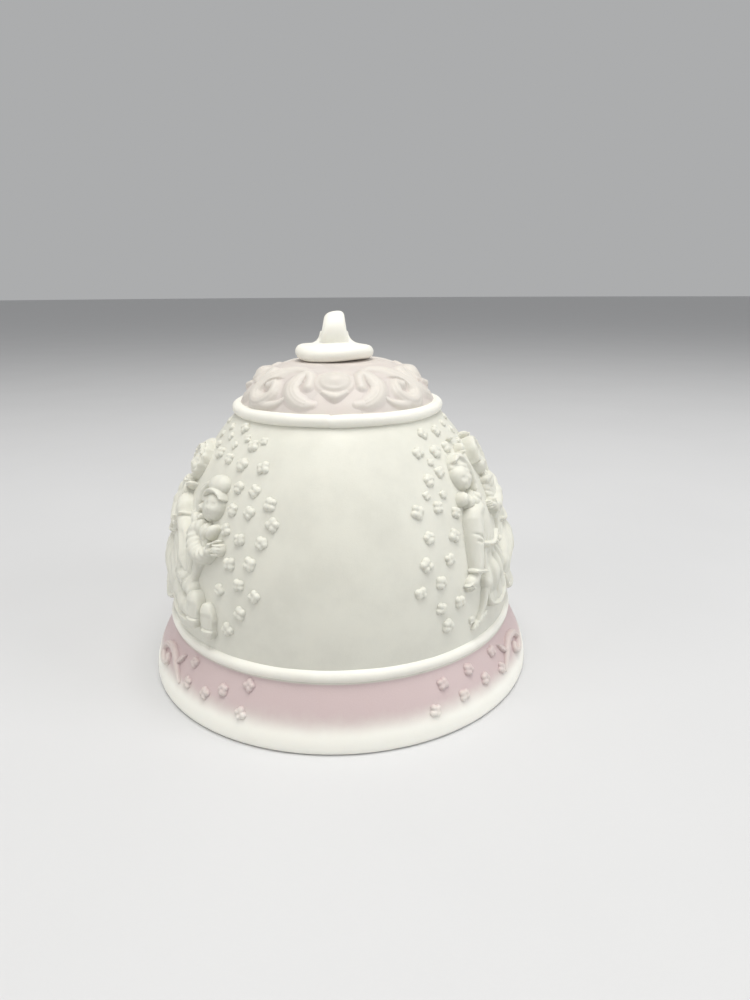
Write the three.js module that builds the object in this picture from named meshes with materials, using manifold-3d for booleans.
// A small porcelain table bell, in millimetres, +Z up.
// The origin is the centre of the foot ring's plane. The plain front panel faces -Y
// and the two relief panels, each with a pair of children among blossoms, face -X and +X.
// A place on the wall is given by its azimuth, 0 at the front and growing towards +X,
// and by its height above the foot ring.

import * as THREE from 'three';
import { mergeVertices } from 'three/addons/utils/BufferGeometryUtils.js';
import Module from 'manifold-3d';

const wasm = await Module();
wasm.setup();

// ---- driving dimensions ----------------------------------------------------

const RIM_R = 45.0;
const WALL = 2.9;
const GAP = 0.3;
const ROUND_SEGMENTS = 32;

// rim and flare
const FOOT_OUTER_R = 44.2;
const FOOT_INNER_R = 41.4;
const RIM_EDGE_Z = 1.0;
const WAIST_Z = 12.1;
const WAIST_R = 40.4;
const SEAT = { r: 39.2, low: 12.7, high: 15.3 };

// body, a half ellipse standing on the waist
const BODY_CENTRE_Z = 13.5;
const BODY_R = 39.8;
const BODY_RISE = 56.2;
const INNER_R = BODY_R - WALL;
const INNER_RISE = 53.6;

// shoulder and dome
const BODY_LOW_Z = 16.0;
const SHOULDER_Z = 60.3;
const DOME_Z = 61.5;
const DOME_R = 21.9;
const CROWN_R = 8.0;
const CROWN_Z = 70.5;
const APEX_Z = 70.7;

// coil beads
const WAIST_BEAD = { z: 14.1, r: 39.0, thick: 1.75 };
const UPPER_BEAD = { z: 60.3, r: 22.0, thick: 1.7 };

// finial
const FINIAL_SHIFT_X = -0.65;
const FLANGE_R = 9.0;
const FLANGE_LOW_Z = APEX_Z + GAP;
const FLANGE_TOP_Z = 73.8;
const LOOP_CENTRE_Z = 76.5;
const LOOP_R = 3.1;
const LOOP_THICK = 1.4;
const LOOP_WIDE = 1.95;

// clapper gear
const WIRE_R = 0.7;
const EYE_R = 1.7;
const STAPLE_R = 2.6;
const STAPLE_BOW_Z = 60.6;
const STAPLE_TOP_Z = 65.6;
const LINK_LENGTH = 8.7;
const CLAPPER_PIVOT_Z = STAPLE_BOW_Z - LINK_LENGTH;
const BALL_R = 6.5;
const BALL_Z = 24.0;
const BALL_BORE_R = WIRE_R + GAP;
const FERRULE_R = 1.6;
const FERRULE_LENGTH = 2.2;
const SHANK_END_Z = BALL_Z - BALL_R - FERRULE_LENGTH - 0.9;

// ---- materials ---------------------------------------------------------------

const bisque = new THREE.MeshStandardMaterial({ color: 0xe9ece4, roughness: 0.6, metalness: 0 });
const lilacBisque = new THREE.MeshStandardMaterial({ color: 0xd9c6cf, roughness: 0.62, metalness: 0 });
const creamBisque = new THREE.MeshStandardMaterial({ color: 0xefe9d6, roughness: 0.58, metalness: 0 });
const cement = new THREE.MeshStandardMaterial({ color: 0xd8d4c8, roughness: 0.9, metalness: 0 });
const brassWire = new THREE.MeshStandardMaterial({ color: 0xb9964f, roughness: 0.35, metalness: 1 });

// ---- solids ------------------------------------------------------------------

function distinct(index, i) {
  return index[i] !== index[i + 1] && index[i + 1] !== index[i + 2] && index[i] !== index[i + 2];
}

// A closed geometry as a solid. Slivers that close up at a pole are dropped.
function solidOf(geometry) {
  const bare = geometry.clone();
  bare.deleteAttribute('normal');
  bare.deleteAttribute('uv');
  const merged = mergeVertices(bare, 1e-4);
  const index = merged.index.array;
  const triVerts = [];
  for (let i = 0; i < index.length; i += 3) {
    if (distinct(index, i)) triVerts.push(index[i], index[i + 1], index[i + 2]);
  }
  const vertProperties = Float32Array.from(merged.attributes.position.array);
  return new wasm.Manifold(
    new wasm.Mesh({ numProp: 3, vertProperties, triVerts: Uint32Array.from(triVerts) }),
  );
}

function geometryOf(solid) {
  const mesh = solid.getMesh();
  const geometry = new THREE.BufferGeometry();
  geometry.setAttribute('position', new THREE.BufferAttribute(Float32Array.from(mesh.vertProperties), 3));
  geometry.setIndex(new THREE.BufferAttribute(Uint32Array.from(mesh.triVerts), 1));
  geometry.computeVertexNormals();
  return geometry;
}

function joined(solids) {
  return solids.reduce((sum, solid) => sum.add(solid));
}

// A profile of [radius, height] points, listed upwards on the outside, turned about +Z.
function turned(profile, segments = ROUND_SEGMENTS) {
  const points = profile.map(([r, z]) => new THREE.Vector2(r, z));
  return new THREE.LatheGeometry(points, segments).rotateX(Math.PI / 2);
}

function circleShape(radius, sides) {
  const shape = new THREE.Shape();
  for (let i = 0; i <= sides; i++) {
    const angle = (2 * Math.PI * i) / sides;
    if (i === 0) shape.moveTo(radius, 0);
    else shape.lineTo(radius * Math.cos(angle), radius * Math.sin(angle));
  }
  return shape;
}

function tube(path, radius, steps, sides = 8) {
  const options = { steps, bevelEnabled: false, extrudePath: path };
  return new THREE.ExtrudeGeometry(circleShape(radius, sides), options);
}

function ring(bead, sides = 8) {
  const profile = [];
  for (let i = 0; i <= sides; i++) {
    const angle = (2 * Math.PI * (i % sides)) / sides;
    profile.push([bead.r + bead.thick * Math.cos(angle), bead.z + bead.thick * Math.sin(angle)]);
  }
  return turned(profile);
}

// ---- the bell's outline ------------------------------------------------------

function ellipseRadius(z, radius, rise) {
  return radius * Math.sqrt(1 - ((z - BODY_CENTRE_Z) / rise) ** 2);
}

function curvePoints(points, divisions) {
  const [a, b, c, d] = points.map(([r, z]) => new THREE.Vector2(r, z));
  return new THREE.CubicBezierCurve(a, b, c, d).getPoints(divisions).map((p) => [p.x, p.y]);
}

function outerProfile() {
  const flare = [[RIM_R, RIM_EDGE_Z], [RIM_R, 4.5], [42.6, 8.5], [WAIST_R, WAIST_Z]];
  const dome = [[DOME_R, DOME_Z], [20.2, 65.6], [14.5, 70.2], [CROWN_R, CROWN_Z]];
  const profile = [...curvePoints(flare, 4), [SEAT.r, SEAT.low], [SEAT.r, SEAT.high]];
  const bodySteps = 7;
  for (let i = 0; i <= bodySteps; i++) {
    const z = BODY_LOW_Z + ((SHOULDER_Z - BODY_LOW_Z) * i) / bodySteps;
    profile.push([ellipseRadius(z, BODY_R, BODY_RISE), z]);
  }
  return [...profile, ...curvePoints(dome, 4)];
}

function innerProfile() {
  const flare = [[FOOT_INNER_R, 0], [FOOT_INNER_R, 4.5], [38.5, 8.5], [INNER_R, BODY_CENTRE_Z]];
  const profile = curvePoints(flare, 3);
  const quarterSteps = 7;
  for (let i = 1; i < quarterSteps; i++) {
    const angle = (Math.PI / 2) * (i / quarterSteps);
    profile.push([INNER_R * Math.cos(angle), BODY_CENTRE_Z + INNER_RISE * Math.sin(angle)]);
  }
  return [...profile, [0, BODY_CENTRE_Z + INNER_RISE]];
}

const OUTLINE = outerProfile();

// The outline pushed out by a distance along its own normals.
function outlineGrownBy(distance) {
  return OUTLINE.map(([r, z], i) => {
    const [r0, z0] = OUTLINE[Math.max(i - 1, 0)];
    const [r1, z1] = OUTLINE[Math.min(i + 1, OUTLINE.length - 1)];
    const length = Math.hypot(r1 - r0, z1 - z0);
    return [r + (distance * (z1 - z0)) / length, z - (distance * (r1 - r0)) / length];
  });
}

function bellShell() {
  const inside = innerProfile().reverse();
  return turned([...inside, [FOOT_OUTER_R, 0], ...OUTLINE, [0, APEX_Z]]);
}

// Everything inside the outer skin plus the gap. Applied pieces are cut back to it.
const skin = outlineGrownBy(GAP);
const core = solidOf(turned([[0, -5], [RIM_R, -5], ...skin, [0, APEX_Z + GAP]]));

// ---- places on the wall ------------------------------------------------------

function outlineAt(z) {
  const last = OUTLINE.length - 2;
  let i = OUTLINE.findIndex((p, k) => k <= last && z <= OUTLINE[k + 1][1]);
  if (i < 0) i = last;
  const [r0, z0] = OUTLINE[i];
  const [r1, z1] = OUTLINE[i + 1];
  const t = (z - z0) / (z1 - z0);
  return { r: r0 + (r1 - r0) * t, tilt: Math.atan2(r0 - r1, z1 - z0) };
}

function wallFrame(azimuthDeg, z, lift = 0) {
  const azimuth = THREE.MathUtils.degToRad(azimuthDeg);
  const { r, tilt } = outlineAt(z);
  const across = new THREE.Vector3(Math.cos(azimuth), Math.sin(azimuth), 0);
  const radial = new THREE.Vector3(Math.sin(azimuth), -Math.cos(azimuth), 0);
  const out = radial.clone().multiplyScalar(Math.cos(tilt)).setZ(Math.sin(tilt));
  const up = new THREE.Vector3().crossVectors(out, across);
  const centre = radial.multiplyScalar(r).setZ(z).addScaledVector(out, lift);
  return new THREE.Matrix4().makeBasis(across, up, out).setPosition(centre);
}

// An egg laid on the wall: [azimuth, height, half width, half height, half depth, spin in degrees].
function egg([azimuth, z, wide, high, deep, spin = 0], grow = 0) {
  const geometry = new THREE.SphereGeometry(1, 8, 6);
  geometry.scale(wide + grow, high + grow, deep + grow);
  geometry.rotateZ(THREE.MathUtils.degToRad(spin));
  return solidOf(geometry.applyMatrix4(wallFrame(azimuth, z, deep * 0.35)));
}

// A stem laid on the wall through [azimuth, height] points.
function stem(places, radius, lift) {
  const points = places.map(([azimuth, z]) => {
    return new THREE.Vector3().setFromMatrixPosition(wallFrame(azimuth, z, lift));
  });
  const path = new THREE.CatmullRomCurve3(points);
  return solidOf(tube(path, radius, places.length + 4, 6));
}

// ---- shell and applied beads ---------------------------------------------------

function appliedBead(bead) {
  return geometryOf(solidOf(ring(bead)).subtract(core));
}

// ---- finial --------------------------------------------------------------------

function finialFlange() {
  const mid = (FLANGE_LOW_Z + FLANGE_TOP_Z) / 2;
  const half = (FLANGE_TOP_Z - FLANGE_LOW_Z) / 2;
  const profile = [[0, FLANGE_LOW_Z], [FLANGE_R - half, FLANGE_LOW_Z]];
  for (let i = 1; i < 5; i++) {
    const angle = -Math.PI / 2 + (Math.PI * i) / 5;
    profile.push([FLANGE_R - half + half * Math.cos(angle), mid + half * Math.sin(angle)]);
  }
  return turned([...profile, [FLANGE_R - half, FLANGE_TOP_Z], [0, FLANGE_TOP_Z]], 24);
}

// The neck sweeps from the flange into the foot of the loop.
function finialNeck() {
  const sweep = curvePoints([[7.2, FLANGE_TOP_Z - 0.2], [4.4, 74.0], [3.6, 74.6], [3.3, 75.6]], 4);
  return turned([[0, FLANGE_TOP_Z - 1], [7.2, FLANGE_TOP_Z - 1], ...sweep, [0, 75.6]], 24);
}

function finialLoop() {
  const loop = new THREE.TorusGeometry(LOOP_R, LOOP_THICK, 10, 20);
  loop.rotateY(Math.PI / 2);
  loop.scale(LOOP_WIDE, 1, 1);
  return loop.translate(0, 0, LOOP_CENTRE_Z);
}

function loopEye() {
  const eye = new THREE.CylinderGeometry(LOOP_R - LOOP_THICK, LOOP_R - LOOP_THICK, 20, 20);
  return eye.rotateZ(Math.PI / 2).translate(0, 0, LOOP_CENTRE_Z);
}

function crownFinial() {
  const solid = joined([solidOf(finialFlange()), solidOf(finialNeck()), solidOf(finialLoop())]);
  return geometryOf(solid.subtract(solidOf(loopEye()))).translate(FINIAL_SHIFT_X, 0, 0);
}

// ---- relief sprigs -------------------------------------------------------------

// Each sprig is a list of eggs. A later sprig is cut back from the ones before it on its panel.
// The whole panel is turned about the bell's axis.
function sprigPanel(sprigs, turnDeg) {
  let before = null;
  return sprigs.map(({ name, eggs: laid }) => {
    const eggs = laid.map(([azimuth, ...rest]) => [azimuth + turnDeg, ...rest]);
    let solid = joined(eggs.map((e) => egg(e))).subtract(core);
    if (before) solid = solid.subtract(before);
    const grown = joined(eggs.map((e) => egg(e, GAP)));
    before = before ? before.add(grown) : grown;
    return { name, geometry: geometryOf(solid) };
  });
}

// How far both panels are turned towards the front, in degrees.
const PANEL_TURN = 5;

const LEFT_PANEL = [
  { name: 'left_child_head', eggs: [[-52.4, 43.6, 3.0, 3.2, 1.9]] },
  { name: 'left_child_cap', eggs: [[-54, 47.4, 3.2, 2.3, 1.9], [-59.5, 45.4, 2.0, 3.2, 1.5]] },
  { name: 'left_child_hand', eggs: [[-45.2, 35.8, 2.0, 1.9, 1.4]] },
  { name: 'left_child_sleeve', eggs: [[-50.6, 34.9, 2.3, 3.4, 1.7], [-56.6, 38.0, 3.4, 2.6, 1.7, -35]] },
  { name: 'left_child_shoe_near', eggs: [[-47.6, 22.3, 2.2, 4.1, 1.3, 6]] },
  { name: 'left_child_shoe_far', eggs: [[-53.8, 23.8, 2.3, 4.2, 1.4, 12]] },
  {
    name: 'left_child_dress',
    eggs: [[-62, 31.0, 5.0, 6.0, 1.9, 20], [-60, 25.5, 3.8, 4.2, 1.7], [-62, 38.5, 3.2, 3.4, 1.6]],
  },
  { name: 'left_friend_head', eggs: [[-80, 49.4, 3.3, 3.4, 1.8]] },
  { name: 'left_friend_bonnet', eggs: [[-82, 52.6, 3.6, 2.0, 1.7], [-87.5, 50.0, 2.2, 3.6, 1.5]] },
  { name: 'left_friend_arm', eggs: [[-74, 40.4, 4.2, 1.7, 1.5, -25]] },
  {
    name: 'left_friend_dress',
    eggs: [[-84, 40.4, 4.8, 5.8, 1.6], [-86, 31.5, 7.4, 6.8, 2.1], [-76, 27.5, 4.6, 4.6, 1.9]],
  },
  {
    name: 'left_leaves',
    eggs: [[-112, 24.5, 2.0, 4.2, 1.2, 30], [-118, 28.5, 2.2, 4.2, 1.2, 55], [-113, 21.5, 4.2, 1.8, 1.2]],
  },
];

const RIGHT_PANEL = [
  { name: 'right_child_hand', eggs: [[47.0, 28.2, 2.4, 1.6, 1.3, 25]] },
  {
    name: 'right_child_arm',
    eggs: [[51.0, 33.0, 1.9, 3.4, 1.4, -8], [53.2, 38.0, 2.2, 3.6, 1.5, -10]],
  },
  { name: 'right_child_head', eggs: [[57.6, 48.4, 3.2, 3.6, 1.9]] },
  {
    name: 'right_child_dress',
    eggs: [[61.5, 40.6, 3.8, 3.6, 1.7], [62, 33.5, 3.6, 5.4, 1.7]],
  },
  { name: 'right_friend_head', eggs: [[80, 48.4, 3.3, 3.4, 1.7]] },
  { name: 'right_friend_hair', eggs: [[80, 51.9, 3.6, 2.0, 1.6], [87, 49.0, 2.2, 3.6, 1.4]] },
  { name: 'right_friend_arm', eggs: [[72, 38.6, 4.4, 1.8, 1.6, 24]] },
  {
    name: 'right_friend_dress',
    eggs: [[84, 38.6, 4.6, 6.0, 1.7], [80, 29.5, 7.8, 6.6, 2.3], [71, 25.6, 4.2, 4.0, 1.8]],
  },
  { name: 'right_friend_shoe', eggs: [[97, 23.4, 4.0, 1.9, 1.4]] },
  {
    name: 'right_leaves',
    eggs: [[49.5, 24.0, 1.2, 3.0, 1.1, -25], [46.4, 21.0, 2.6, 1.3, 1.0, 30]],
  },
];

// ---- dome and band ornament ------------------------------------------------------

const DOME_QUARTERS = [0, 90, 180, 270];

function domeRosette(azimuth) {
  return geometryOf(egg([azimuth, 67.2, 4.2, 2.5, 1.25]).subtract(core));
}

// A curl that starts at the rosette's side, runs out along the dome and turns back on itself.
function domeScroll(azimuth, side) {
  const places = [[18, 69.0], [20, 66.6], [26, 64.9], [34, 64.6], [40, 66.0], [38, 67.6], [31, 67.8]];
  const route = places.map(([offset, z]) => [azimuth + side * offset, z]);
  return geometryOf(stem(route, 1.0, 0.7).subtract(core));
}

// An open S curl on the lower band, leaning towards the panel.
function bandScroll(azimuth, side) {
  const places = [[-7, 6.2], [-5.5, 9.4], [-1.5, 10.4], [0, 8.0], [2.5, 5.4], [6.5, 6.6], [7.5, 9.8]];
  const route = places.map(([offset, z]) => [azimuth + side * offset, z]);
  return geometryOf(stem(route, 0.8, 0.25).subtract(core));
}

// ---- clapper gear ------------------------------------------------------------------

function staplePath() {
  const centreZ = STAPLE_BOW_Z + STAPLE_R;
  const points = [new THREE.Vector3(-STAPLE_R, 0, STAPLE_TOP_Z)];
  const arcSteps = 10;
  for (let i = 0; i <= arcSteps; i++) {
    const angle = Math.PI + (Math.PI * i) / arcSteps;
    points.push(
      new THREE.Vector3(STAPLE_R * Math.cos(angle), 0, centreZ + STAPLE_R * Math.sin(angle)),
    );
  }
  points.push(new THREE.Vector3(STAPLE_R, 0, STAPLE_TOP_Z));
  return new THREE.CatmullRomCurve3(points, false, 'centripetal');
}

function staple(radius) {
  return tube(staplePath(), radius, 18);
}

// A lump of cement pressed up into the crown around the staple's legs.
function cementPlug() {
  const lump = [[0, 63.9], [4.2, 64.1], [6.4, 64.9], [7.0, 66.0], [7.0, APEX_Z], [0, APEX_Z]];
  const hollow = turned([[0, 0], ...innerProfile()]).translate(0, 0, -GAP - 0.05);
  const plug = solidOf(turned(lump, 24)).intersect(solidOf(hollow));
  return geometryOf(plug.subtract(solidOf(staple(WIRE_R + GAP))));
}

// A torus parted at its waist and drawn out into a long closed eye in the YZ plane.
function clapperLink() {
  const arcSteps = 20;
  const eye = new THREE.TorusGeometry(EYE_R, WIRE_R, 8, arcSteps).rotateZ(Math.PI / arcSteps);
  const legs = STAPLE_BOW_Z - CLAPPER_PIVOT_Z - EYE_R;
  const position = eye.attributes.position;
  for (let i = 0; i < position.count; i++) {
    const stretch = Math.sign(position.getY(i)) * (legs / 2);
    position.setY(i, position.getY(i) + stretch);
  }
  eye.rotateX(Math.PI / 2).rotateZ(Math.PI / 2);
  return eye.translate(0, 0, STAPLE_BOW_Z - legs / 2);
}

// The shank's eye is a closed ring in the XZ plane with the straight wire joined below it.
function clapperShank() {
  const eye = new THREE.TorusGeometry(EYE_R, WIRE_R, 8, 20);
  eye.rotateX(Math.PI / 2).translate(0, 0, CLAPPER_PIVOT_Z);
  const top = CLAPPER_PIVOT_Z - EYE_R;
  const wire = new THREE.CylinderGeometry(WIRE_R, WIRE_R, top - SHANK_END_Z, 8);
  wire.rotateX(Math.PI / 2).translate(0, 0, (top + SHANK_END_Z) / 2);
  return geometryOf(solidOf(eye).add(solidOf(wire)));
}

function bored(geometry, radius) {
  const bore = new THREE.CylinderGeometry(radius, radius, 60, 12);
  bore.rotateX(Math.PI / 2).translate(0, 0, BALL_Z);
  return geometryOf(solidOf(geometry).subtract(solidOf(bore)));
}

function clapperBall() {
  const ball = new THREE.SphereGeometry(BALL_R, 20, 12).rotateX(Math.PI / 2);
  return bored(ball.translate(0, 0, BALL_Z), BALL_BORE_R);
}

function clapperFerrule() {
  const ferrule = new THREE.CylinderGeometry(FERRULE_R, FERRULE_R, FERRULE_LENGTH, 16);
  ferrule.rotateX(Math.PI / 2);
  ferrule.translate(0, 0, BALL_Z - BALL_R - GAP - FERRULE_LENGTH / 2);
  return bored(ferrule, BALL_BORE_R);
}

// ---- assembly ------------------------------------------------------------------------

const bell = new THREE.Group();

function add(name, geometry, material) {
  const mesh = new THREE.Mesh(geometry, material);
  mesh.name = name;
  bell.add(mesh);
}

add('bell_shell', bellShell(), bisque);
add('waist_bead', appliedBead(WAIST_BEAD), creamBisque);
add('upper_bead', appliedBead(UPPER_BEAD), creamBisque);
add('crown_finial', crownFinial(), creamBisque);

const panels = [...sprigPanel(LEFT_PANEL, PANEL_TURN), ...sprigPanel(RIGHT_PANEL, -PANEL_TURN)];
panels.forEach(({ name, geometry }) => {
  add(name, geometry, bisque);
});

DOME_QUARTERS.forEach((azimuth, i) => {
  add(`dome_rosette_${i + 1}`, domeRosette(azimuth), lilacBisque);
  add(`dome_scroll_${2 * i + 1}`, domeScroll(azimuth, 1), lilacBisque);
  add(`dome_scroll_${2 * i + 2}`, domeScroll(azimuth, -1), lilacBisque);
});

[62, 118, 242, 298].forEach((azimuth, i) => {
  add(`band_scroll_${i + 1}`, bandScroll(azimuth, i % 2 === 0 ? 1 : -1), lilacBisque);
});

add('cement_plug', cementPlug(), cement);
add('clapper_staple', staple(WIRE_R), brassWire);
add('clapper_link', clapperLink(), brassWire);
add('clapper_shank', clapperShank(), brassWire);
add('clapper_ball', clapperBall(), bisque);
add('clapper_ferrule', clapperFerrule(), brassWire);

export default bell;
